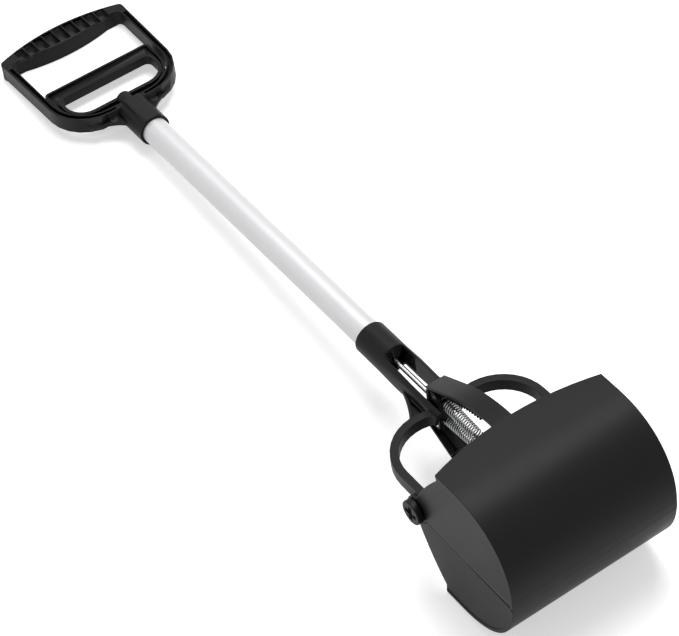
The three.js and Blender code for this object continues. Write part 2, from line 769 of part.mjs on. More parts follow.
// Built front side up and turned over, so the links' pins match
function rearJawSolid() {
  const seam = -rearSeam;
  const clearDiscs = bothSides(rodAlong('y', 0, 0, earRadius + seamGap, plateInner - sideGap / 2,
    jawHalfWidth + cutOver, circleSteps));
  const half = aboveSeam(seam);
  const outerWall = without(joined([jawShell(), ...sidePlates()]).intersect(half), clearDiscs);
  const tongue = capsule(0, 0, tongueReachX, tongueReachZ, tongueRadius);
  const tongues = bothSides(joined([
    extrude('y', tongue, tongueInner, tongueOuter),
    rodAlong('y', 0, 0, earRadius, tongueInner, tongueOuter, circleSteps),
  ]));
  const bridge = extrude('y', tongue, tongueOuter - blend, plateInner + blend).subtract(plateCut());
  const bridges = bothSides(bridge.intersect(half)).map((each) => without(each, clearDiscs));
  const jaw = without(joined([outerWall, ...tongues, ...bridges, ...jawEars()]), jawHoles());
  return jaw.mirror([0, 0, 1]);
}

function jawPinSolid() {
  const face = linkHalfWidth + sideGap * 2 + jawEarThickness + seatGap;
  const shank = rodAlong('y', jawPinX, jawPinZ, linkPinRadius, -face - blend, face + clipThickness * 2);
  const head = rodAlong('y', jawPinX, jawPinZ, pinHeadRadius, -face - pinHead, -face);
  return shank.add(head);
}

function clipSolid() {
  const face = linkHalfWidth + sideGap * 2 + jawEarThickness + seatGap;
  const washer = rodAlong('y', jawPinX, jawPinZ, clipRadius, face, face + clipThickness);
  const hole = rodAlong('y', jawPinX, jawPinZ, linkPinRadius + seatGap, face - cutOver, face + cutOver);
  return washer.subtract(hole);
}

// Axle and the caps on its ends
const capFace = jawHalfWidth + sideGap;

function axleSolid() {
  const half = capFace + capBoreDepth - seatGap;
  return rodAlong('y', 0, 0, axleRadius, -half, half, circleSteps);
}

function capSolid() {
  const outside = capFace + capThickness;
  const head = extrude('y', circle(0, 0, capRadius), capFace, outside, capBevel);
  const bore = rodAlong('y', 0, 0, axleRadius + seatGap, capFace - cutOver, capFace + capBoreDepth, circleSteps);
  const long = capRecessLength / 2;
  const wide = capRecessWidth / 2;
  const floor = outside - capRecessDepth;
  const recess = [
    box(-long, long, floor, outside + cutOver, -wide, wide),
    box(-wide, wide, floor, outside + cutOver, -long, long),
  ];
  return without(head, [bore, ...recess]);
}

// Springs: one wire each, from the crosshead to the axle
const springTop = -crossheadFace + seatGap;
const springFoot = -axleRadius - seatGap;
const curlPitch = springWire + springCurlGap;
const curls = Math.floor((-springEndX - springTop - springTopLeg) / curlPitch);

function springPath() {
  const coilStart = springTop + springTopLeg;
  const coilLength = curls * curlPitch;
  const path = [new THREE.Vector3(springTop, springRadius, springTopZ)];
  for (let step = 0; step <= curls * curlSteps; step += 1) {
    const angle = (2 * Math.PI * step) / curlSteps;
    const along = (curlPitch * step) / curlSteps;
    const z = springTopZ + ((springEndZ - springTopZ) * along) / coilLength;
    path.push(new THREE.Vector3(coilStart + along, springRadius * Math.cos(angle), z + springRadius * Math.sin(angle)));
  }
  path.push(new THREE.Vector3(springFoot, springRadius, springHookZ));
  return path;
}

function wireRings(path) {
  let across = new THREE.Vector3(0, 1, 0);
  return path.map((place, index) => {
    const before = path[Math.max(index - 1, 0)];
    const after = path[Math.min(index + 1, path.length - 1)];
    const incoming = place.clone().sub(before).normalize();
    const outgoing = after.clone().sub(place).normalize();
    const heading = incoming.add(outgoing).normalize();
    across = across.clone().addScaledVector(heading, -across.dot(heading)).normalize();
    const other = heading.clone().cross(across);
    return circle(0, 0, springWire / 2, wireSides).map(({ x, y }) =>
      place.clone().addScaledVector(across, x).addScaledVector(other, y));
  });
}

// Least distance between points of the wire that are at least half a curl apart
function leastWireGap(rings) {
  const apart = curlSteps / 2;
  let least = Infinity;
  rings.forEach((near, index) => {
    rings.slice(index + apart, index + 3 * apart).forEach((far) => {
      near.forEach((a) => far.forEach((b) => {
        least = Math.min(least, a.distanceTo(b));
      }));
    });
  });
  return least;
}

const springRings = wireRings(springPath());
console.log(`springs: ${curls} curls each, least gap ${leastWireGap(springRings).toFixed(2)} mm`);

// Grip frame
const crownX = gripStart - gripReach;
const gripBarEnd = gripStart - fingerTopEdge;
const floorSlope = (jawHalfDepth - gripBack) / (rimCrown - gripBarEnd);
const crownCornerX = crownX + crownRise;

function crownPoints(inward) {
  const left = crownCornerX + inward;
  const middle = crownX - crownRise + inward;
  const half = gripHalfWidth - inward;
  return bow(point(left, half), point(middle, 0), point(left, -half)).slice(1, -1);
}

function frameOutline() {
  const lower = gripStart - frameLowerEdge;
  const half = [
    [crownCornerX, -gripHalfWidth, gripCornerRadius],
    [lower, -gripWaistHalfWidth, frameLowerRadius],
  ];
  const other = half.map(([x, y, radius]) => [x, -y, radius]).reverse();
  const crown = crownPoints(0).map(({ x, y }) => [x, y, 0]);
  return rounded([...half, ...other, ...crown]);
}

// Underside of the grip bar, bowed between two straight ends
function underside() {
  const ends = gripStart - fingerTopEnds;
  const middle = gripStart - 2 * fingerTopEdge + fingerTopEnds;
  const width = fingerHalfWidth * undersideShare;
  return bow(point(ends, width), point(middle, 0), point(ends, -width));
}

function fingerOutline() {
  const lower = gripStart - fingerLowerEdge;
  const ends = gripStart - fingerTopEnds;
  return rounded([
    [ends, -fingerHalfWidth, fingerTopRadius],
    [lower, -fingerLowerHalfWidth, fingerLowerRadius],
    [lower, fingerLowerHalfWidth, fingerLowerRadius],
    [ends, fingerHalfWidth, fingerTopRadius],
    ...underside().map(({ x, y }) => [x, y, 0]),
  ]);
}

function gripBarSolid() {
  const ends = gripStart - fingerTopEnds;
  const outline = rounded([
    [crownCornerX, gripHalfWidth, gripCornerRadius],
    ...crownPoints(0).map(({ x, y }) => [x, y, 0]),
    [crownCornerX, -gripHalfWidth, gripCornerRadius],
    [ends, -gripHalfWidth, 0],
    ...underside().reverse().map(({ x, y }) => [x, y, 0]),
    [ends, gripHalfWidth, 0],
  ]);
  const lowX = crownX - cutOver;
  const lowZ = -gripBack + floorSlope * (gripBarEnd - lowX);
  const below = -gripBack - cutOver;
  const slope = [point(lowX, lowZ), point(lowX, below), point(gripBarEnd, below), point(gripBarEnd, -gripBack)];
  const floor = extrude('y', slope, -gripHalfWidth - cutOver, gripHalfWidth + cutOver);
  return extrude('z', outline, -gripBack, gripFront, gripEdge).subtract(floor);
}

function pocketSolids() {
  const cuts = [];
  const lower = gripStart - fingerTopEnds - pocketLip;
  for (let pocket = 0; pocket < pocketCount; pocket += 1) {
    const middle = (pocket - (pocketCount - 1) / 2) * pocketPitch;
    const half = (pocketPitch - pocketRib) / 2;
    const crown = crownX + pocketLip + crownRise * (middle / gripHalfWidth) ** 2;
    const low = lower + (fingerTopEnds - fingerTopEdge) * (1 - (middle / fingerHalfWidth) ** 2);
    cuts.push(box(crown, low, middle - half, middle + half, gripFront - pocketDepth, gripFront + cutOver));
  }
  return cuts;
}

// A channel round the sides and the lower edge, open to the front and to the back
function frameGrooves() {
  const outer = inset(frameOutline(), frameGrooveRim);
  const inner = inset(fingerOutline(), -frameGrooveInner);
  const reach = gripFront + cutOver;
  const ring = (low, high) => extrude('z', outer, low, high).subtract(extrude('z', inner, low, high));
  const keep = box(crownX - cutOver, gripStart - frameGrooveTop, -gripHalfWidth, gripHalfWidth, -reach, reach);
  const collar = box(gripStart - fingerLowerEdge - cutOver, gripStart + cutOver,
    -gripCollarRadius, gripCollarRadius, -reach, reach);
  const rings = [ring(frameFront - frameGrooveDepth, reach), ring(-reach, frameGrooveDepth - frameBack)];
  return rings.map((each) => without(each, [keep, collar]));
}

function collarSolid() {
  const start = gripStart - frameLowerEdge;
  const round = rodAlong('x', 0, 0, gripCollarRadius, start - blend, gripStart, circleSteps);
  const face = rounded([
    [-panelHalfWidth, 0, 0],
    [panelHalfWidth, 0, 0],
    [panelHalfWidth, panelTop, panelCorner],
    [-panelHalfWidth, panelTop, panelCorner],
  ]);
  const panel = extrude('x', face, start - blend, gripStart);
  return joined([round, panel, ...bothSides(extrude('z', braceOutline(), -braceBack, braceFront))]);
}

function braceOutline() {
  const edge = bow(point(gripStart - braceStartX, braceStartY), point(gripStart - bracePullX, bracePullY),
    point(gripStart - braceEndX, braceEndY));
  const bend = frameLowerRadius - blend;
  const centreX = gripStart - frameLowerEdge - frameLowerRadius;
  const centreY = gripWaistHalfWidth - frameLowerRadius;
  return [
    ...edge,
    ...arc(centreX, centreY, bend, (braceTipAngle * Math.PI) / 180, 0, cornerSteps),
    point(centreX + bend, 0),
    point(gripStart - braceStartX, 0),
  ];
}

function gripFrameSolid() {
  const frame = extrude('z', frameOutline(), -frameBack, frameFront);
  const reach = gripFront + cutOver;
  const finger = extrude('z', fingerOutline(), -reach, reach);
  const lower = gripStart - fingerLowerEdge;
  const socket = rodAlong('x', 0, 0, tubeRadius + seatGap, tubeGripEnd - bushFlange - 2 * seatGap,
    gripStart + cutOver, circleSteps);
  const rodHole = rodAlong('x', 0, 0, rodRadius + runGap, lower - cutOver, gripStart);
  const notchRadius = bossRadius + triggerGap / 2;
  const notch = extrude('x', [
    ...arc(0, bossRise, notchRadius, -Math.PI, 0, pinSteps),
    point(notchRadius, panelTop + cutOver),
    point(-notchRadius, panelTop + cutOver),
  ], lower - cutOver, bossEnd + bossGap);
  const slotX = gripStart - slotPlaceX;
  const slots = [slotPlaceY, -slotPlaceY].map((y) =>
    extrude('z', capsule(slotX, y - slotLength / 2, slotX, y + slotLength / 2, slotWidth / 2), -reach, reach));
  const body = joined([frame, gripBarSolid()]).subtract(finger);
  return without(body.add(collarSolid()),
    [socket, rodHole, notch, ...frameGrooves(), ...pocketSolids(), ...slots, ...screwHoles()]);
}

// Trigger: a ring inside the frame, drawn towards the grip by the fingers
function triggerOutline() {
  const narrow = fingerLowerHalfWidth - triggerGap;
  const top = gripStart - triggerTopEdge;
  const lower = gripStart - fingerLowerEdge - triggerGap;
  return rounded([
    [top, -narrow, triggerTopRadius],
    [lower, -narrow, fingerLowerRadius - triggerGap],
    [lower, narrow, fingerLowerRadius - triggerGap],
    [top, narrow, triggerTopRadius],
  ]);
}

function triggerWindow() {
  const top = gripStart - triggerTopEdge + triggerBar;
  const lower = gripStart - fingerLowerEdge - triggerGap - triggerLower;
  return rounded([
    [top, -triggerWindowHalfWidth, triggerWindowTopRadius],
    [lower, -triggerWindowHalfWidth, triggerWindowRadius],
    [lower, triggerWindowHalfWidth, triggerWindowRadius],
    [top, triggerWindowHalfWidth, triggerWindowTopRadius],
  ]);
}

function triggerSolid() {
  const ring = extrude('z', triggerOutline(), -triggerBack, triggerFront);
  const reach = gripFront + cutOver;
  const window = extrude('z', triggerWindow(), -reach, reach);
  const floor = triggerFront - triggerGroove;
  const groove = extrude('z', inset(triggerOutline(), triggerRim), floor, reach)
    .subtract(extrude('z', inset(triggerWindow(), -triggerInnerRim), floor, reach));
  const boss = rodAlong('x', 0, bossRise, bossRadius, bossStart, bossEnd, circleSteps);
  const rodHole = rodAlong('x', 0, 0, rodRadius + seatGap, rodEnd - seatGap, bossEnd + cutOver);
  const pinHole = rodAlong('y', triggerPinX, 0, crossPinRadius + seatGap,
    -bossRadius - cutOver, bossRadius + cutOver, pinSteps / 2);
  return without(without(ring, [window, groove]).add(boss), [rodHole, pinHole]);
}

// Assembly in the tool frame
function flipped(mesh) {
  mesh.rotation.x = Math.PI;
  return mesh;
}

const tool = new THREE.Group();
tool.add(meshOf('grip_frame', gripFrameSolid(), blackPlastic));
tool.add(meshOf('tube', tubeSolid(), anodisedTube));
tool.add(meshOf('upper_rod_bush', bushSolid(tubeGripEnd, -1), blackPlastic));
tool.add(meshOf('lower_rod_bush', bushSolid(tubeYokeEnd, 1), blackPlastic));
tool.add(meshOf('yoke', yokeSolid(), blackPlastic));
screwSeats.forEach((seat) => tool.add(meshOf(seat.name, screwSolid(seat), zincSteel)));
tool.add(meshOf('pivot_axle', axleSolid(), zincSteel));
tool.add(meshOf('right_pivot_cap', capSolid(), blackPlastic));
const leftCap = meshOf('left_pivot_cap', capSolid(), blackPlastic);
leftCap.rotation.z = Math.PI;
tool.add(leftCap);

tool.add(meshOf('trigger', triggerSolid(), blackPlastic));
tool.add(meshOf('pull_rod', rodSolid(), zincSteel));
tool.add(meshOf('trigger_pin', crossPin(triggerPinX, bossRadius - seatGap * 2), zincSteel));
tool.add(meshOf('crosshead', crossheadSolid(), blackPlastic));
tool.add(meshOf('crosshead_pin', crossPin(crossheadPinX, crossheadHalfWidth - seatGap), zincSteel));

tool.add(meshOf('front_link', linkSolid(), blackPlastic));
tool.add(meshOf('front_link_pin', linkPin(), zincSteel));
tool.add(meshOf('front_jaw_pin', jawPinSolid(), zincSteel));
tool.add(meshOf('front_jaw_clip', clipSolid(), zincSteel));
tool.add(flipped(meshOf('rear_link', linkSolid(), blackPlastic)));
tool.add(flipped(meshOf('rear_link_pin', linkPin(), zincSteel)));
tool.add(flipped(meshOf('rear_jaw_pin', jawPinSolid(), zincSteel)));
tool.add(flipped(meshOf('rear_jaw_clip', clipSolid(), zincSteel)));

tool.add(meshOf('front_jaw', frontJawSolid(), blackPlastic));
tool.add(meshOf('rear_jaw', rearJawSolid(), blackPlastic));
tool.add(meshOf('front_spring', loft(springRings), zincSteel));
tool.add(flipped(meshOf('rear_spring', loft(springRings), zincSteel)));

// The tool lies on its back, on the rear jaw's rim and the back of the grip
const layAngle = Math.atan(floorSlope);
tool.rotation.y = -layAngle;
tool.updateMatrixWorld(true);
const bounds = new THREE.Box3().setFromObject(tool, true);
const middle = bounds.getCenter(new THREE.Vector3());
tool.position.set(-middle.x, -middle.y, -bounds.min.z);

const scooper = new THREE.Group();
scooper.add(tool);

export default scooper;
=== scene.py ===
import json
import math
import bmesh
import bpy
from mathutils import Matrix, Vector


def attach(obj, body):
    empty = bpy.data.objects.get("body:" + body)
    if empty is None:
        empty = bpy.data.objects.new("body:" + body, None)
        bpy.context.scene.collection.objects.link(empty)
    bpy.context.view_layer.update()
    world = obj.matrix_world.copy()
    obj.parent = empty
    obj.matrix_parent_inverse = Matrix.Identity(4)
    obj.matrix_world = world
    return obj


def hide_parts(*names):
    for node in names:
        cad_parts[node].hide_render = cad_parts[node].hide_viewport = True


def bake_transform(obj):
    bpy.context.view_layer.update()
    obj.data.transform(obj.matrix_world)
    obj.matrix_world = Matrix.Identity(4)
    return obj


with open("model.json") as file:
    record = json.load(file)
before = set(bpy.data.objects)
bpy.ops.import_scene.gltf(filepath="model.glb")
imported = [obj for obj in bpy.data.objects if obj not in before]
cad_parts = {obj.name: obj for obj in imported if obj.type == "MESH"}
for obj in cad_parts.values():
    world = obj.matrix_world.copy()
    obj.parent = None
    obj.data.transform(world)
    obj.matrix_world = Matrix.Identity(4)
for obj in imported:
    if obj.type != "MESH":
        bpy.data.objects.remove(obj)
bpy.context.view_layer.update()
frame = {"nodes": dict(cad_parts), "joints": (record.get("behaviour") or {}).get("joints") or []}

scene = bpy.context.scene
scene.view_settings.view_transform = "Standard"

# Where the tool lies: X runs from the grip to the jaws' tip, Y along the pivot, Z out of the front
joints = {joint["name"]: joint for joint in frame["joints"]}
pivot = Vector(joints["front_jaw_hinge"]["pos_m"])
along = -Vector(joints["trigger_slide"]["axis"]).normalized()
across = Vector((0, 1, 0))
upward = along.cross(across).normalized()
toolAxes = Matrix((along, across, upward)).transposed().to_4x4()
millimetre = 0.001
toolToWorld = Matrix.Translation(pivot) @ toolAxes @ Matrix.Scale(millimetre, 4)
print("frame loaded, pivot at", tuple(round(value, 4) for value in pivot))


# Camera: the photograph's own view, worked out in the tool's millimetres
cameraView = {
    "place": (957.3, -650.4, 1352.0),
    "right": (0.5730, 0.8141, -0.0941),
    "down": (0.5531, -0.4688, -0.6886),
    "pixels": 2600,  # focal length
    "imageWidth": 679,
    "sensor": 36,
    "nearest": 0.05,
    "farthest": 30,
}


def buildCamera():
    right = Vector(cameraView["right"]).normalized()
    down = Vector(cameraView["down"])
    down = (down - right * down.dot(right)).normalized()
    back = right.cross(-down).normalized()
    turn = Matrix((right, -down, back)).transposed().to_4x4()
    data = bpy.data.cameras.new("photoCamera")
    data.sensor_width = cameraView["sensor"]
    data.lens = cameraView["sensor"] * cameraView["pixels"] / cameraView["imageWidth"]
    data.clip_start = cameraView["nearest"]
    data.clip_end = cameraView["farthest"]
    camera = bpy.data.objects.new("photoCamera", data)
    scene.collection.objects.link(camera)
    camera.matrix_world = Matrix.Translation(toolToWorld @ Vector(cameraView["place"])) @ toolAxes @ turn
    scene.camera = camera
    print("camera set")


buildCamera()


# Shader helpers
def addNode(tree, kind, **settings):
    node = tree.nodes.new(kind)
    for name, value in settings.items():
        setattr(node, name, value)
    return node


def setInputs(node, **values):
    for name, value in values.items():
        node.inputs[name.replace("_", " ")].default_value = value


def addSocket(tree, name, direction, kind, value=None):
    socket = tree.interface.new_socket(name=name, in_out=direction, socket_type=kind)
    if value is not None:
        socket.default_value = value


# Gives a socket its value, whether that is a number, a colour or another node's output
def feed(tree, socket, value):
    if isinstance(value, bpy.types.NodeSocket):
        tree.links.new(value, socket)
    elif isinstance(value, tuple):
        socket.default_value = (*value, 1)
    else:
        socket.default_value = value


# Textures that the materials share
textureLook = {
    # noise that breaks up the painted edge highlight
    "grain": {"Detail": 4, "Roughness": 0.6},
    "patches": {"Detail": 5, "Roughness": 0.55, "Distortion": 0.4},
    "highlightBreakup": {"Detail": 3, "Roughness": 0.6},
    "hollowSamples": 8,
}


# Fine moulded grain: a height and a patchy mask
def grainGroup():
    tree = bpy.data.node_groups.new("mouldedGrain", "ShaderNodeTree")
    addSocket(tree, "Grain scale", "INPUT", "NodeSocketFloat")
    addSocket(tree, "Patch scale", "INPUT", "NodeSocketFloat")
    addSocket(tree, "Height", "OUTPUT", "NodeSocketFloat")
    addSocket(tree, "Patches", "OUTPUT", "NodeSocketFloat")
    start = addNode(tree, "NodeGroupInput")
    end = addNode(tree, "NodeGroupOutput")
    place = addNode(tree, "ShaderNodeTexCoord")
    fine = addNode(tree, "ShaderNodeTexNoise")
    setInputs(fine, **textureLook["grain"])
    patches = addNode(tree, "ShaderNodeTexNoise")
    setInputs(patches, **textureLook["patches"])
    tree.links.new(place.outputs["Object"], fine.inputs["Vector"])
    tree.links.new(place.outputs["Object"], patches.inputs["Vector"])
    tree.links.new(start.outputs["Grain scale"], fine.inputs["Scale"])
    tree.links.new(start.outputs["Patch scale"], patches.inputs["Scale"])
    tree.links.new(fine.outputs["Fac"], end.inputs["Height"])
    tree.links.new(patches.outputs["Fac"], end.inputs["Patches"])
    return tree


# Painted edge highlight: a mask from the mesh's convex edges, broken up by noise, that turns the colour
# paler where a rounded edge would catch the light
def edgeHighlightGroup():
    tree = bpy.data.node_groups.new("paintedEdgeHighlight", "ShaderNodeTree")
    for name in ("Start", "End", "Break scale"):
        addSocket(tree, name, "INPUT", "NodeSocketFloat")
    addSocket(tree, "Mask", "OUTPUT", "NodeSocketFloat")
    start = addNode(tree, "NodeGroupInput")
    end = addNode(tree, "NodeGroupOutput")
    surface = addNode(tree, "ShaderNodeNewGeometry")
    place = addNode(tree, "ShaderNodeTexCoord")
    noise = addNode(tree, "ShaderNodeTexNoise")
    setInputs(noise, **textureLook["highlightBreakup"])
    rise = addNode(tree, "ShaderNodeMapRange")
    broken = addNode(tree, "ShaderNodeMath", operation="MULTIPLY")
    tree.links.new(place.outputs["Object"], noise.inputs["Vector"])
    tree.links.new(start.outputs["Break scale"], noise.inputs["Scale"])
    tree.links.new(surface.outputs["Pointiness"], rise.inputs["Value"])
    tree.links.new(start.outputs["Start"], rise.inputs["From Min"])
    tree.links.new(start.outputs["End"], rise.inputs["From Max"])
    tree.links.new(rise.outputs["Result"], broken.inputs[0])
    tree.links.new(noise.outputs["Fac"], broken.inputs[1])
    tree.links.new(broken.outputs["Value"], end.inputs["Mask"])
    return tree


# Painted hollow shade: an ambient-occlusion mask of grooves, pockets and the insides of curls, which
# darkens the colour there, where less light reaches
def hollowGroup():
    tree = bpy.data.node_groups.new("paintedHollowShade", "ShaderNodeTree")
    for name in ("Depth", "Start", "End"):
        addSocket(tree, name, "INPUT", "NodeSocketFloat")
    addSocket(tree, "Open", "OUTPUT", "NodeSocketFloat")
    start = addNode(tree, "NodeGroupInput")
    end = addNode(tree, "NodeGroupOutput")
    covered = addNode(tree, "ShaderNodeAmbientOcclusion", samples=textureLook["hollowSamples"])
    rise = addNode(tree, "ShaderNodeMapRange")
    tree.links.new(start.outputs["Depth"], covered.inputs["Distance"])
    tree.links.new(covered.outputs["AO"], rise.inputs["Value"])
    tree.links.new(start.outputs["Start"], rise.inputs["From Min"])
    tree.links.new(start.outputs["End"], rise.inputs["From Max"])
    tree.links.new(rise.outputs["Result"], end.inputs["Open"])
    return tree


mouldedGrain = grainGroup()
paintedEdgeHighlight = edgeHighlightGroup()
paintedHollowShade = hollowGroup()


def newMaterial(name):
    material = bpy.data.materials.new(name)
    material.use_nodes = True
    tree = material.node_tree
    return material, tree, tree.nodes["Principled BSDF"]


def placeGroup(tree, group, **values):
    node = addNode(tree, "ShaderNodeGroup", node_tree=group)
    setInputs(node, **values)
    return node


def mixColours(tree, factor, first, second):
    mix = addNode(tree, "ShaderNodeMix", data_type="RGBA")
    for name, value in (("Factor", factor), ("A", first), ("B", second)):
        feed(tree, mix.inputs[name], value)
    return mix.outputs["Result"]


# Spreads a noise, which lies mostly between fromLow and fromHigh, over a range
def spread(tree, value, low, high, fromLow=0.3, fromHigh=0.7):
    node = addNode(tree, "ShaderNodeMapRange")
    setInputs(node, From_Min=fromLow, From_Max=fromHigh, To_Min=low, To_Max=high)
    tree.links.new(value, node.inputs["Value"])
    return node.outputs["Result"]


def addGrain(tree, look):
    return placeGroup(tree, mouldedGrain, Grain_scale=look["grainScale"], Patch_scale=look["patchScale"])


# mixes a near-black painted shade into the hollows that the ambient-occlusion mask finds
def addHollowShade(tree, colour, look):
    hollows = placeGroup(tree, paintedHollowShade, Depth=look["hollowDepth"], Start=look["hollowStart"],
                         End=look["hollowEnd"])
    return mixColours(tree, hollows.outputs["Open"], look["hollow"], colour)


def addBump(tree, shader, height, look):
    bump = addNode(tree, "ShaderNodeBump")
    setInputs(bump, Strength=look["bump"], Distance=look["bumpHeight"])
    tree.links.new(height, bump.inputs["Height"])
    tree.links.new(bump.outputs["Normal"], shader.inputs["Normal"])


# Satin black plastic, with a painted highlight on its convex edges and painted shade in its hollows
def plasticMaterial(name, look):
    material, tree, shader = newMaterial(name)
    grain = addGrain(tree, look)
    edges = placeGroup(tree, paintedEdgeHighlight, Start=look["edgeStart"], End=look["edgeEnd"],
                       Break_scale=look["breakScale"])
    body = mixColours(tree, grain.outputs["Patches"], look["colour"], look["paler"])
    # painted shade in the hollows, then a painted highlight on the convex edges
    shadedAndHighlit = mixColours(tree, edges.outputs["Mask"], addHollowShade(tree, body, look), look["edgeHighlight"])
    tree.links.new(shadedAndHighlit, shader.inputs["Base Color"])
    rough = spread(tree, grain.outputs["Patches"], look["smooth"], look["rough"])
    tree.links.new(rough, shader.inputs["Roughness"])
    addBump(tree, shader, grain.outputs["Height"], look)
    shader.inputs["Specular IOR Level"].default_value = look["gloss"]
    return material


plasticLook = {
    "colour": (0.0085, 0.0085, 0.009),
    "paler": (0.0115, 0.0115, 0.012),
    # colour of the painted highlight on convex edges
    "edgeHighlight": (0.11, 0.11, 0.11),
    # colour of the painted shade in hollows
    "hollow": (0.0008, 0.0008, 0.0008),
    "hollowDepth": 0.011,
    "hollowStart": 0.35,
    "hollowEnd": 0.85,
    "edgeStart": 0.54,
    "edgeEnd": 0.64,
    "breakScale": 120,
    "smooth": 0.40,
    "rough": 0.46,
    "grainScale": 900,
    "patchScale": 14,
    "bump": 0.10,
    "bumpHeight": 0.0002,
    "gloss": 0.10,  # share of the usual plastic's reflection
}
blackPlastic = plasticMaterial("blackPlastic", plasticLook)


# Satin anodised aluminium with faint draw lines along the tube
def tubeMaterial(look):
    material, tree, shader = newMaterial("satinTube")
    place = addNode(tree, "ShaderNodeTexCoord")
    stretch = addNode(tree, "ShaderNodeMapping")
    stretch.inputs["Scale"].default_value = look["lineScale"]
    lines = addNode(tree, "ShaderNodeTexNoise")
    setInputs(lines, **look["lines"])
    tree.links.new(place.outputs["Object"], stretch.inputs["Vector"])
    tree.links.new(stretch.outputs["Vector"], lines.inputs["Vector"])
    grain = addGrain(tree, look)
    colour = mixColours(tree, lines.outputs["Fac"], look["colour"], look["darker"])
    tree.links.new(colour, shader.inputs["Base Color"])
    rough = spread(tree, grain.outputs["Patches"], look["smooth"], look["rough"])
    tree.links.new(rough, shader.inputs["Roughness"])
    addBump(tree, shader, grain.outputs["Height"], look)
    shader.inputs["Metallic"].default_value = look["metallic"]
    return material


satinTube = tubeMaterial({
    "colour": (0.64, 0.64, 0.65),
    "darker": (0.58, 0.58, 0.59),
    "lineScale": (4, 900, 900),
    "lines": {"Scale": 1, "Detail": 3, "Roughness": 0.5},
    "grainScale": 1400,
    "patchScale": 9,
    "smooth": 0.40,
    "rough": 0.50,
    "metallic": 0.35,
    "bump": 0.08,
    "bumpHeight": 0.0001,
})


# Bare or plated steel, in patches of two tones, with painted shade in its hollows
def steelMaterial(name, look):
    material, tree, shader = newMaterial(name)
    grain = addGrain(tree, look)
    colour = mixColours(tree, grain.outputs["Patches"], look["colour"], look["patches"])
    tree.links.new(addHollowShade(tree, colour, look), shader.inputs["Base Color"])
    rough = spread(tree, grain.outputs["Height"], look["smooth"], look["rough"])
    tree.links.new(rough, shader.inputs["Roughness"])
    shader.inputs["Metallic"].default_value = 1
    return material


zincSteel = steelMaterial("zincSteel", {
    "colour": (0.74, 0.75, 0.77),
    "patches": (0.60, 0.61, 0.63),
    # colour of the painted shade in hollows
    "hollow": (0.05, 0.05, 0.05),
    "hollowDepth": 0.003,
    "hollowStart": 0.2,
    "hollowEnd": 0.75,
    "grainScale": 600,
    "patchScale": 60,
    "smooth": 0.16,
    "rough": 0.30,
})
springSteel = steelMaterial("springSteel", {
    "colour": (0.44, 0.45, 0.46),
    "patches": (0.46, 0.47, 0.48),
    # colour of the painted shade in hollows
    "hollow": (0.010, 0.010, 0.010),
    "hollowDepth": 0.008,
    "hollowStart": 0.55,
    "hollowEnd": 1.0,
    "grainScale": 600,
    "patchScale": 60,
    "smooth": 0.22,
    "rough": 0.34,
})
print("materials built")


# Stage: a white floor that keeps the shadow, a white surrounding and soft lamps
stageLook = {
    "floorSize": 12,
    "floorColour": (0.76, 0.76, 0.76),
    "floorRough": 0.9,
    "floorGlow": 0.50,
    "worldLight": 0.42,
    "lamps": [
        {"name": "gripSideLamp", "place": (-0.5, 0.55, 2.2), "size": 1.35, "watts": 50},
        {"name": "leftLamp", "place": (-0.9, -1.9, 1.1), "size": 1.1, "watts": 3.5},
    ],
    "target": (0.2, 0.0, 0.05),
}


def seenWhite(tree):
    ray = addNode(tree, "ShaderNodeLightPath")
    seen = addNode(tree, "ShaderNodeMath", operation="ADD", use_clamp=True)
    more = addNode(tree, "ShaderNodeMath", operation="ADD", use_clamp=True)
    tree.links.new(ray.outputs["Is Camera Ray"], seen.inputs[0])
    tree.links.new(ray.outputs["Is Glossy Ray"], seen.inputs[1])
    tree.links.new(seen.outputs["Value"], more.inputs[0])
    tree.links.new(ray.outputs["Is Transmission Ray"], more.inputs[1])
    return more.outputs["Value"]


def buildWorld():
    world = bpy.data.worlds.new("whiteRoom")
    world.use_nodes = True
    tree = world.node_tree
    background = tree.nodes["Background"]
    background.inputs["Color"].default_value = (1, 1, 1, 1)
    strength = addNode(tree, "ShaderNodeMapRange")
    strength.inputs["To Min"].default_value = stageLook["worldLight"]
    strength.inputs["To Max"].default_value = 1
    tree.links.new(seenWhite(tree), strength.inputs["Value"])
    tree.links.new(strength.outputs["Result"], background.inputs["Strength"])
    scene.world = world


def buildFloor():
    half = stageLook["floorSize"] / 2
    corners = [(-half, -half, 0), (half, -half, 0), (half, half, 0), (-half, half, 0)]
    mesh = bpy.data.meshes.new("floor")
    mesh.from_pydata(corners, [], [(0, 1, 2, 3)])
    floor = bpy.data.objects.new("floor", mesh)
    scene.collection.objects.link(floor)
    material, tree, shader = newMaterial("whiteFloor")
    shader.inputs["Base Color"].default_value = (*stageLook["floorColour"], 1)
    shader.inputs["Roughness"].default_value = stageLook["floorRough"]
    shader.inputs["Emission Color"].default_value = (1, 1, 1, 1)
    glow = addNode(tree, "ShaderNodeMath", operation="MULTIPLY")
    glow.inputs[1].default_value = stageLook["floorGlow"]
    tree.links.new(seenWhite(tree), glow.inputs[0])
    tree.links.new(glow.outputs["Value"], shader.inputs["Emission Strength"])
    mesh.materials.append(material)


def buildLamps():
    for lamp in stageLook["lamps"]:
        data = bpy.data.lights.new(lamp["name"], "AREA")
        data.size = lamp["size"]
        data.energy = lamp["watts"]
        light = bpy.data.objects.new(lamp["name"], data)
        scene.collection.objects.link(light)
        light.location = lamp["place"]
        towards = Vector(stageLook["target"]) - light.location
        light.rotation_mode = "QUATERNION"
        light.rotation_quaternion = towards.to_track_quat("-Z", "Y")


buildWorld()
buildFloor()
buildLamps()
print("stage set")


# Smooths a carried-over CAD solid by angle, without touching its mesh
smoothLook = {
    "angle": math.radians(32),  # edges that turn more than this stay sharp
    "merge": 0.000005,
}


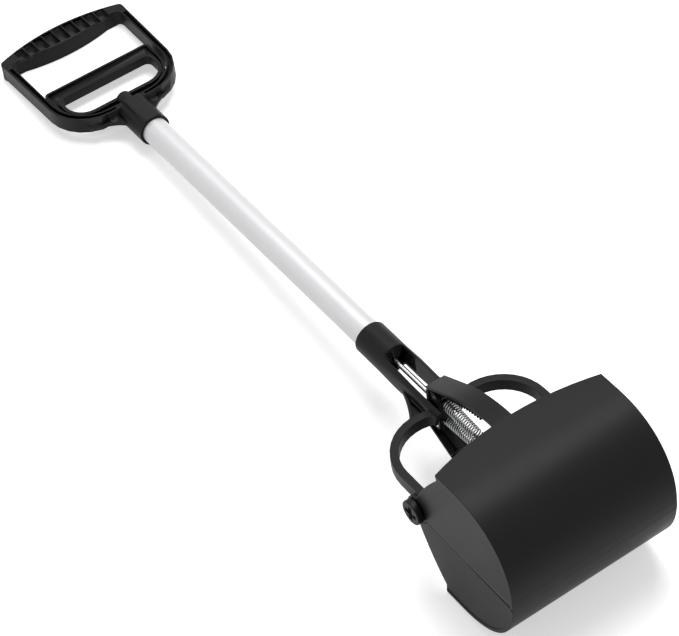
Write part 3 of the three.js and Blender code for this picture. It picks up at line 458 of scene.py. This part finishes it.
def smoothTree():
    tree = bpy.data.node_groups.new("smoothByAngle", "GeometryNodeTree")
    addSocket(tree, "Geometry", "INPUT", "NodeSocketGeometry")
    addSocket(tree, "Sharp angle", "INPUT", "NodeSocketFloat", smoothLook["angle"])
    addSocket(tree, "Geometry", "OUTPUT", "NodeSocketGeometry")
    start = addNode(tree, "NodeGroupInput")
    end = addNode(tree, "NodeGroupOutput")
    merge = addNode(tree, "GeometryNodeMergeByDistance")
    merge.inputs["Distance"].default_value = smoothLook["merge"]
    faces = addNode(tree, "GeometryNodeSetShadeSmooth", domain="FACE")
    edges = addNode(tree, "GeometryNodeSetShadeSmooth", domain="EDGE")
    edges.inputs["Shade Smooth"].default_value = False
    angle = addNode(tree, "GeometryNodeInputMeshEdgeAngle")
    compare = addNode(tree, "FunctionNodeCompare", operation="GREATER_THAN")
    tree.links.new(start.outputs["Geometry"], merge.inputs["Geometry"])
    tree.links.new(merge.outputs["Geometry"], faces.inputs["Geometry"])
    tree.links.new(faces.outputs["Geometry"], edges.inputs["Geometry"])
    tree.links.new(angle.outputs["Unsigned Angle"], compare.inputs["A"])
    tree.links.new(start.outputs["Sharp angle"], compare.inputs["B"])
    tree.links.new(compare.outputs["Result"], edges.inputs["Selection"])
    tree.links.new(edges.outputs["Geometry"], end.inputs["Geometry"])
    return tree


smoothByAngle = smoothTree()
finishes = {"black_plastic": blackPlastic, "tube_aluminium": satinTube, "zinc_steel": zincSteel}


def finishNode(name, slot):
    node = frame["nodes"][name]
    node.data.materials.clear()
    node.data.materials.append(finishes[slot])
    node.modifiers.new("smooth", "NODES").node_group = smoothByAngle


carriedOver = {
    "zinc_steel": ("yoke_screw", "grip_screw", "pivot_axle", "pull_rod", "trigger_pin", "crosshead_pin",
                   "front_link_pin", "rear_link_pin", "front_jaw_pin", "rear_jaw_pin", "front_jaw_clip",
                   "rear_jaw_clip"),
    "black_plastic": ("upper_rod_bush", "lower_rod_bush"),
    "tube_aluminium": ("tube",),
}
for slot, names in carriedOver.items():
    for name in names:
        finishNode(name, slot)
print("carried-over pieces finished")


# Moulded pieces: the solid with its edges rounded as a mould rounds them
mouldLook = {
    "sharp": math.radians(38),  # edges that turn more than this are rounded
    "segments": 2,
    "profile": 0.6,
    "merge": 0.000004,
    "flat": math.radians(0.6),  # faces that differ less than this become one
    "pieces": [
        {"node": "grip_frame", "name": "gripFrame", "body": "frame", "edge": 0.00035},
        {"node": "trigger", "name": "triggerRing", "body": "trigger_rod", "edge": 0.0004},
        {"node": "yoke", "name": "yokeFork", "body": "frame", "edge": 0.0004},
        {"node": "left_pivot_cap", "name": "leftPivotCap", "body": "frame", "edge": 0.0004},
        {"node": "right_pivot_cap", "name": "rightPivotCap", "body": "frame", "edge": 0.0004},
        {"node": "crosshead", "name": "crossheadBlock", "body": "trigger_rod", "edge": 0.0003},
        {"node": "front_link", "name": "frontLink", "body": "front_link", "edge": 0.0003},
        {"node": "rear_link", "name": "rearLink", "body": "rear_link", "edge": 0.0003},
        {"node": "front_jaw", "name": "frontJaw", "body": "front_jaw", "edge": 0.0004},
        {"node": "rear_jaw", "name": "rearJaw", "body": "rear_jaw", "edge": 0.0004},
    ],
}


def addPiece(name, mesh, material):
    piece = bpy.data.objects.new(name, mesh)
    scene.collection.objects.link(piece)
    mesh.materials.clear()
    mesh.materials.append(material)
    return piece


def smoothShade(mesh):
    mesh.shade_smooth()
    mesh.set_sharp_from_angle(angle=smoothLook["angle"])


# The jaws close tighter towards their tip, so the seam fades there. In the tool's millimetres
seamLook = {
    "front": -3.4,  # the front jaw's meeting face
    "rear": -3.8,  # the rear jaw's
    "near": 0.01,  # how far a point may lie off these faces
    "close": 0.38,  # how far the front jaw's face comes down, from none at the pivot
    "start": 20,
    "full": 80,
}


# Moves the front jaw's meeting face, and gives the points of either jaw's
def closeSeam(solid):
    worldToTool = toolToWorld.inverted()
    meeting = set()
    for each in solid.verts:
        place = worldToTool @ each.co
        onFront = abs(place.z - seamLook["front"]) < seamLook["near"]
        onRear = abs(place.z - seamLook["rear"]) < seamLook["near"]
        if not (onFront or onRear) or place.x <= seamLook["start"]:
            continue
        meeting.add(each)
        if onFront:
            share = (place.x - seamLook["start"]) / (seamLook["full"] - seamLook["start"])
            place.z -= seamLook["close"] * min(1, share)
            each.co = toolToWorld @ place
    return meeting


# The edges that touch the seam stay sharp, so that no groove shows across the panel
def mouldedCopy(nodeName, edge):
    solid = bmesh.new()
    solid.from_mesh(frame["nodes"][nodeName].data)
    bmesh.ops.remove_doubles(solid, verts=solid.verts, dist=mouldLook["merge"])
    bmesh.ops.dissolve_limit(solid, angle_limit=mouldLook["flat"], verts=solid.verts, edges=solid.edges)
    bmesh.ops.triangulate(solid, faces=solid.faces, quad_method="BEAUTY", ngon_method="BEAUTY")
    area = sum(each.calc_area() for each in solid.faces)
    kept = closeSeam(solid) if nodeName.endswith("jaw") else set()
    edges = [each for each in solid.edges
             if each.is_manifold and each.calc_face_angle_signed() > mouldLook["sharp"]
             and each.verts[0] not in kept and each.verts[1] not in kept]
    bmesh.ops.bevel(solid, geom=edges, offset=edge, segments=mouldLook["segments"],
                    profile=mouldLook["profile"], affect="EDGES", clamp_overlap=False)
    bmesh.ops.triangulate(solid, faces=solid.faces)
    after = sum(each.calc_area() for each in solid.faces)
    print(nodeName, "rounded, area kept", round(after / area, 3), "faces", len(solid.faces))
    mesh = bpy.data.meshes.new(nodeName + "Moulded")
    solid.to_mesh(mesh)
    solid.free()
    smoothShade(mesh)
    return mesh


# the jaws' edges get no painted highlight
jawPlastic = plasticMaterial("jawPlastic", {**plasticLook, "edgeHighlight": plasticLook["paler"]})
for look in mouldLook["pieces"]:
    plastic = jawPlastic if look["node"].endswith("jaw") else blackPlastic
    piece = addPiece(look["name"], mouldedCopy(look["node"], look["edge"]), plastic)
    level = piece.modifiers.new("level", "WEIGHTED_NORMAL")
    level.keep_sharp = True
    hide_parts(look["node"])
    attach(piece, look["body"])
print("moulded pieces built")


# Small helpers for geometry trees
def maths(tree, operation, *values):
    node = addNode(tree, "ShaderNodeMath", operation=operation)
    for socket, value in zip(node.inputs, values):
        feed(tree, socket, value)
    return node.outputs["Value"]


def splitPlace(tree):
    place = addNode(tree, "GeometryNodeInputPosition")
    split = addNode(tree, "ShaderNodeSeparateXYZ")
    tree.links.new(place.outputs["Position"], split.inputs["Vector"])
    return split.outputs


def joinPlace(tree, x, y, z):
    join = addNode(tree, "ShaderNodeCombineXYZ")
    for socket, value in zip(join.inputs, (x, y, z)):
        feed(tree, socket, value)
    return join.outputs["Vector"]


def ease(tree, value, start, end):
    node = addNode(tree, "ShaderNodeMapRange", interpolation_type="SMOOTHSTEP")
    for name, source in (("Value", value), ("From Min", start), ("From Max", end)):
        feed(tree, node.inputs[name], source)
    return node.outputs["Result"]


# Faces a closed mesh's skin outwards, and gives its volume in cubic millimetres
def faceOutwards(mesh, merge=0):
    solid = bmesh.new()
    solid.from_mesh(mesh)
    if merge:
        bmesh.ops.remove_doubles(solid, verts=solid.verts, dist=merge)
    bmesh.ops.recalc_face_normals(solid, faces=solid.faces)
    volume = solid.calc_volume() / millimetre ** 3
    solid.to_mesh(mesh)
    solid.free()
    return round(volume, 1)


def finishTree(tree, geometry, material):
    realize = addNode(tree, "GeometryNodeRealizeInstances")
    coat = addNode(tree, "GeometryNodeSetMaterial")
    coat.inputs["Material"].default_value = material
    end = addNode(tree, "NodeGroupOutput")
    tree.links.new(geometry, realize.inputs["Geometry"])
    tree.links.new(realize.outputs["Geometry"], coat.inputs["Geometry"])
    tree.links.new(coat.outputs["Geometry"], end.inputs["Geometry"])


# Gives a tree one input for each size of its piece
def addSizes(tree, look):
    kinds = {int: "NodeSocketInt", float: "NodeSocketFloat", tuple: "NodeSocketVector"}
    for name, value in look.items():
        addSocket(tree, name, "INPUT", kinds[type(value)])
    addSocket(tree, "Geometry", "OUTPUT", "NodeSocketGeometry")
    return addNode(tree, "NodeGroupInput").outputs


# Runs a geometry tree once and gives its result as a plain mesh in the model's frame
def grow(tree, look, name):
    host = bpy.data.objects.new(name + "Host", bpy.data.meshes.new(name + "Host"))
    scene.collection.objects.link(host)
    modifier = host.modifiers.new("grow", "NODES")
    modifier.node_group = tree
    for item in tree.interface.items_tree:
        if item.item_type == "SOCKET" and item.in_out == "INPUT" and item.name in look:
            modifier[item.identifier] = look[item.name]
    graph = bpy.context.evaluated_depsgraph_get()
    mesh = bpy.data.meshes.new_from_object(host.evaluated_get(graph), depsgraph=graph)
    host.modifiers.remove(modifier)
    bpy.data.objects.remove(host)
    mesh.transform(toolToWorld)
    mesh.name = name
    return mesh


# Springs: sixteen curls, a leg into the crosshead and a hook round the axle
springLook = {
    "Curls": 16,
    "Coil radius": 4.1,
    "Wire": 1.15,
    "Turn steps": 24,
    "Wire sides": 10,
    "Top": (-58.75, 4.1, 7.8),
    "Coil start": (-56.3, 0.0, 7.8),
    "Coil end": (-22.7, 0.0, 5.0),
    "Hook radius": 3.75,
    "Hook turn": 215.0,  # degrees round the axle
    "Weld": 0.01,
}


def springTree():
    tree = bpy.data.node_groups.new("springCurls", "GeometryNodeTree")
    sizes = addSizes(tree, springLook)
    # the coil is a straight line whose points are swung round it
    axis = addNode(tree, "GeometryNodeCurvePrimitiveLine")
    tree.links.new(sizes["Coil start"], axis.inputs["Start"])
    tree.links.new(sizes["Coil end"], axis.inputs["End"])
    parts = addNode(tree, "GeometryNodeResampleCurve")
    tree.links.new(axis.outputs["Curve"], parts.inputs["Curve"])
    count = maths(tree, "ADD", maths(tree, "MULTIPLY", sizes["Curls"], sizes["Turn steps"]), 1)
    tree.links.new(count, parts.inputs["Count"])
    share = addNode(tree, "GeometryNodeSplineParameter").outputs["Factor"]
    angle = maths(tree, "MULTIPLY", maths(tree, "MULTIPLY", share, sizes["Curls"]), 2 * math.pi)
    sideways = maths(tree, "MULTIPLY", maths(tree, "COSINE", angle), sizes["Coil radius"])
    upwards = maths(tree, "MULTIPLY", maths(tree, "SINE", angle), sizes["Coil radius"])
    coil = addNode(tree, "GeometryNodeSetPosition")
    tree.links.new(parts.outputs["Curve"], coil.inputs["Geometry"])
    tree.links.new(joinPlace(tree, 0, sideways, upwards), coil.inputs["Offset"])
    # the leg at the crosshead
    leg = addNode(tree, "GeometryNodeCurvePrimitiveLine")
    firstCurl = addNode(tree, "ShaderNodeVectorMath", operation="ADD")
    tree.links.new(sizes["Coil start"], firstCurl.inputs[0])
    tree.links.new(joinPlace(tree, 0, sizes["Coil radius"], 0), firstCurl.inputs[1])
    tree.links.new(sizes["Top"], leg.inputs["Start"])
    tree.links.new(firstCurl.outputs["Vector"], leg.inputs["End"])
    # the straight stretch to the axle, and the hook round it
    lastCurl = addNode(tree, "ShaderNodeVectorMath", operation="ADD")
    tree.links.new(sizes["Coil end"], lastCurl.inputs[0])
    tree.links.new(joinPlace(tree, 0, sizes["Coil radius"], 0), lastCurl.inputs[1])
    reach = addNode(tree, "GeometryNodeCurvePrimitiveLine")
    tree.links.new(lastCurl.outputs["Vector"], reach.inputs["Start"])
    tree.links.new(joinPlace(tree, 0, sizes["Coil radius"], sizes["Hook radius"]), reach.inputs["End"])
    hook = addNode(tree, "GeometryNodeCurveArc")
    tree.links.new(sizes["Turn steps"], hook.inputs["Resolution"])
    tree.links.new(sizes["Hook radius"], hook.inputs["Radius"])
    sweep = maths(tree, "RADIANS", maths(tree, "MULTIPLY", sizes["Hook turn"], -1))
    hook.inputs["Start Angle"].default_value = math.pi / 2
    tree.links.new(sweep, hook.inputs["Sweep Angle"])
    stand = addNode(tree, "GeometryNodeTransform")
    stand.inputs["Rotation"].default_value = (math.pi / 2, 0, 0)
    tree.links.new(hook.outputs["Curve"], stand.inputs["Geometry"])
    tree.links.new(joinPlace(tree, 0, sizes["Coil radius"], 0), stand.inputs["Translation"])
    together = addNode(tree, "GeometryNodeJoinGeometry")
    for geometry in (leg.outputs["Curve"], coil.outputs["Geometry"], reach.outputs["Curve"],
                     stand.outputs["Geometry"]):
        tree.links.new(geometry, together.inputs["Geometry"])
    # one unbroken wire
    chain = addNode(tree, "GeometryNodeCurveToMesh")
    weld = addNode(tree, "GeometryNodeMergeByDistance")
    tree.links.new(sizes["Weld"], weld.inputs["Distance"])
    wire = addNode(tree, "GeometryNodeMeshToCurve")
    section = addNode(tree, "GeometryNodeCurvePrimitiveCircle")
    tree.links.new(sizes["Wire sides"], section.inputs["Resolution"])
    tree.links.new(maths(tree, "MULTIPLY", sizes["Wire"], 0.5), section.inputs["Radius"])
    skin = addNode(tree, "GeometryNodeCurveToMesh")
    setInputs(skin, Fill_Caps=True)
    smooth = addNode(tree, "GeometryNodeSetShadeSmooth")
    tree.links.new(together.outputs["Geometry"], chain.inputs["Curve"])
    tree.links.new(chain.outputs["Mesh"], weld.inputs["Geometry"])
    tree.links.new(weld.outputs["Geometry"], wire.inputs["Mesh"])
    tree.links.new(wire.outputs["Curve"], skin.inputs["Curve"])
    tree.links.new(section.outputs["Curve"], skin.inputs["Profile Curve"])
    tree.links.new(skin.outputs["Mesh"], smooth.inputs["Geometry"])
    finishTree(tree, smooth.outputs["Geometry"], springSteel)
    return tree


def buildSprings():
    tree = springTree()
    halfTurn = toolToWorld @ Matrix.Rotation(math.pi, 4, "X") @ toolToWorld.inverted()
    for name, node, turned in (("frontSpring", "front_spring", False), ("rearSpring", "rear_spring", True)):
        mesh = grow(tree, springLook, name)
        if turned:
            mesh.transform(halfTurn)
        print(name, len(mesh.vertices), "points, volume", faceOutwards(mesh), "mm3")
        piece = addPiece(name, mesh, springSteel)
        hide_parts(node)
        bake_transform(piece)


buildSprings()
print("springs built")


# Scalloped floors in the grip bar's pockets, deep beside one rib and flush at the other
pocketLook = {
    "Count": 9,
    "Pitch": 9.6,
    "Rib": 1.2,
    "Crown": -593.2,  # start of the middle pocket
    "Crown rise": 10.5,
    "Grip half width": 57.9,
    "Lower": -580.0,  # end of the pockets at the bar's ends
    "Lower drop": 5.2,
    "Finger half width": 51.8,
    "Foot": 5.3,
    "Floor": 5.5,
    "Face": 8.46,
    "Fall start": 0.12,  # shares of the way down the pocket
    "Fall end": 0.98,
    "Scallop start": 0.95,  # shares of the way over it
    "Scallop end": 0.25,
    "Points down": 15,  # the floor's grid
    "Points over": 11,
}


def pocketTree():
    tree = bpy.data.node_groups.new("gripPockets", "GeometryNodeTree")
    sizes = addSizes(tree, pocketLook)
    width = maths(tree, "SUBTRACT", sizes["Pitch"], sizes["Rib"])
    row = addNode(tree, "GeometryNodeMeshLine")
    tree.links.new(sizes["Count"], row.inputs["Count"])
    half = maths(tree, "MULTIPLY", maths(tree, "SUBTRACT", sizes["Count"], 1), -0.5)
    first = maths(tree, "MULTIPLY", half, sizes["Pitch"])
    tree.links.new(joinPlace(tree, 0, first, 0), row.inputs["Start Location"])
    tree.links.new(joinPlace(tree, 0, sizes["Pitch"], 0), row.inputs["Offset"])
    block = addNode(tree, "GeometryNodeMeshCube")
    tree.links.new(joinPlace(tree, 1, width, 1), block.inputs["Size"])
    tree.links.new(sizes["Points down"], block.inputs["Vertices X"])
    tree.links.new(sizes["Points over"], block.inputs["Vertices Y"])
    setInputs(block, Vertices_Z=2)
    # the share of the way over the pocket is kept before it is placed
    own = splitPlace(tree)
    keep = addNode(tree, "GeometryNodeStoreNamedAttribute", data_type="FLOAT", domain="POINT")
    keep.inputs["Name"].default_value = "over"
    tree.links.new(block.outputs["Mesh"], keep.inputs["Geometry"])
    tree.links.new(maths(tree, "ADD", maths(tree, "DIVIDE", own["Y"], width), 0.5), keep.inputs["Value"])
    places = addNode(tree, "GeometryNodeInstanceOnPoints")
    tree.links.new(row.outputs["Mesh"], places.inputs["Points"])
    tree.links.new(keep.outputs["Geometry"], places.inputs["Instance"])
    real = addNode(tree, "GeometryNodeRealizeInstances")
    tree.links.new(places.outputs["Instances"], real.inputs["Geometry"])
    placed = splitPlace(tree)
    over = addNode(tree, "GeometryNodeInputNamedAttribute", data_type="FLOAT")
    over.inputs["Name"].default_value = "over"
    share = over.outputs["Attribute"]
    down = maths(tree, "ADD", placed["X"], 0.5)
    out = maths(tree, "POWER", maths(tree, "DIVIDE", placed["Y"], sizes["Grip half width"]), 2)
    crown = maths(tree, "ADD", sizes["Crown"], maths(tree, "MULTIPLY", sizes["Crown rise"], out))
    inward = maths(tree, "POWER", maths(tree, "DIVIDE", placed["Y"], sizes["Finger half width"]), 2)
    bow = maths(tree, "MULTIPLY", sizes["Lower drop"], maths(tree, "SUBTRACT", 1, inward))
    lower = maths(tree, "ADD", sizes["Lower"], bow)
    run = maths(tree, "MULTIPLY", down, maths(tree, "SUBTRACT", lower, crown))
    x = maths(tree, "ADD", crown, run)
    # flush at the lower end and beside the left rib, deep beside the right one
    fall = ease(tree, down, sizes["Fall start"], sizes["Fall end"])
    side = ease(tree, share, sizes["Scallop start"], sizes["Scallop end"])
    height = maths(tree, "MULTIPLY", fall, side)
    rise = maths(tree, "MULTIPLY", height, maths(tree, "SUBTRACT", sizes["Face"], sizes["Floor"]))
    top = maths(tree, "ADD", sizes["Floor"], rise)
    isTop = maths(tree, "GREATER_THAN", placed["Z"], 0)
    thick = maths(tree, "SUBTRACT", top, sizes["Foot"])
    z = maths(tree, "ADD", sizes["Foot"], maths(tree, "MULTIPLY", isTop, thick))
    move = addNode(tree, "GeometryNodeSetPosition")
    tree.links.new(real.outputs["Geometry"], move.inputs["Geometry"])
    tree.links.new(joinPlace(tree, x, placed["Y"], z), move.inputs["Position"])
    finishTree(tree, move.outputs["Geometry"], blackPlastic)
    return tree


def buildPockets():
    mesh = grow(pocketTree(), pocketLook, "gripPocketFloors")
    volume = faceOutwards(mesh, mouldLook["merge"])
    print("pocket floors", len(mesh.polygons), "faces, volume", volume, "mm3")
    smoothShade(mesh)
    piece = addPiece("gripPocketFloors", mesh, blackPlastic)
    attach(piece, "frame")


buildPockets()
print("grip pockets built")
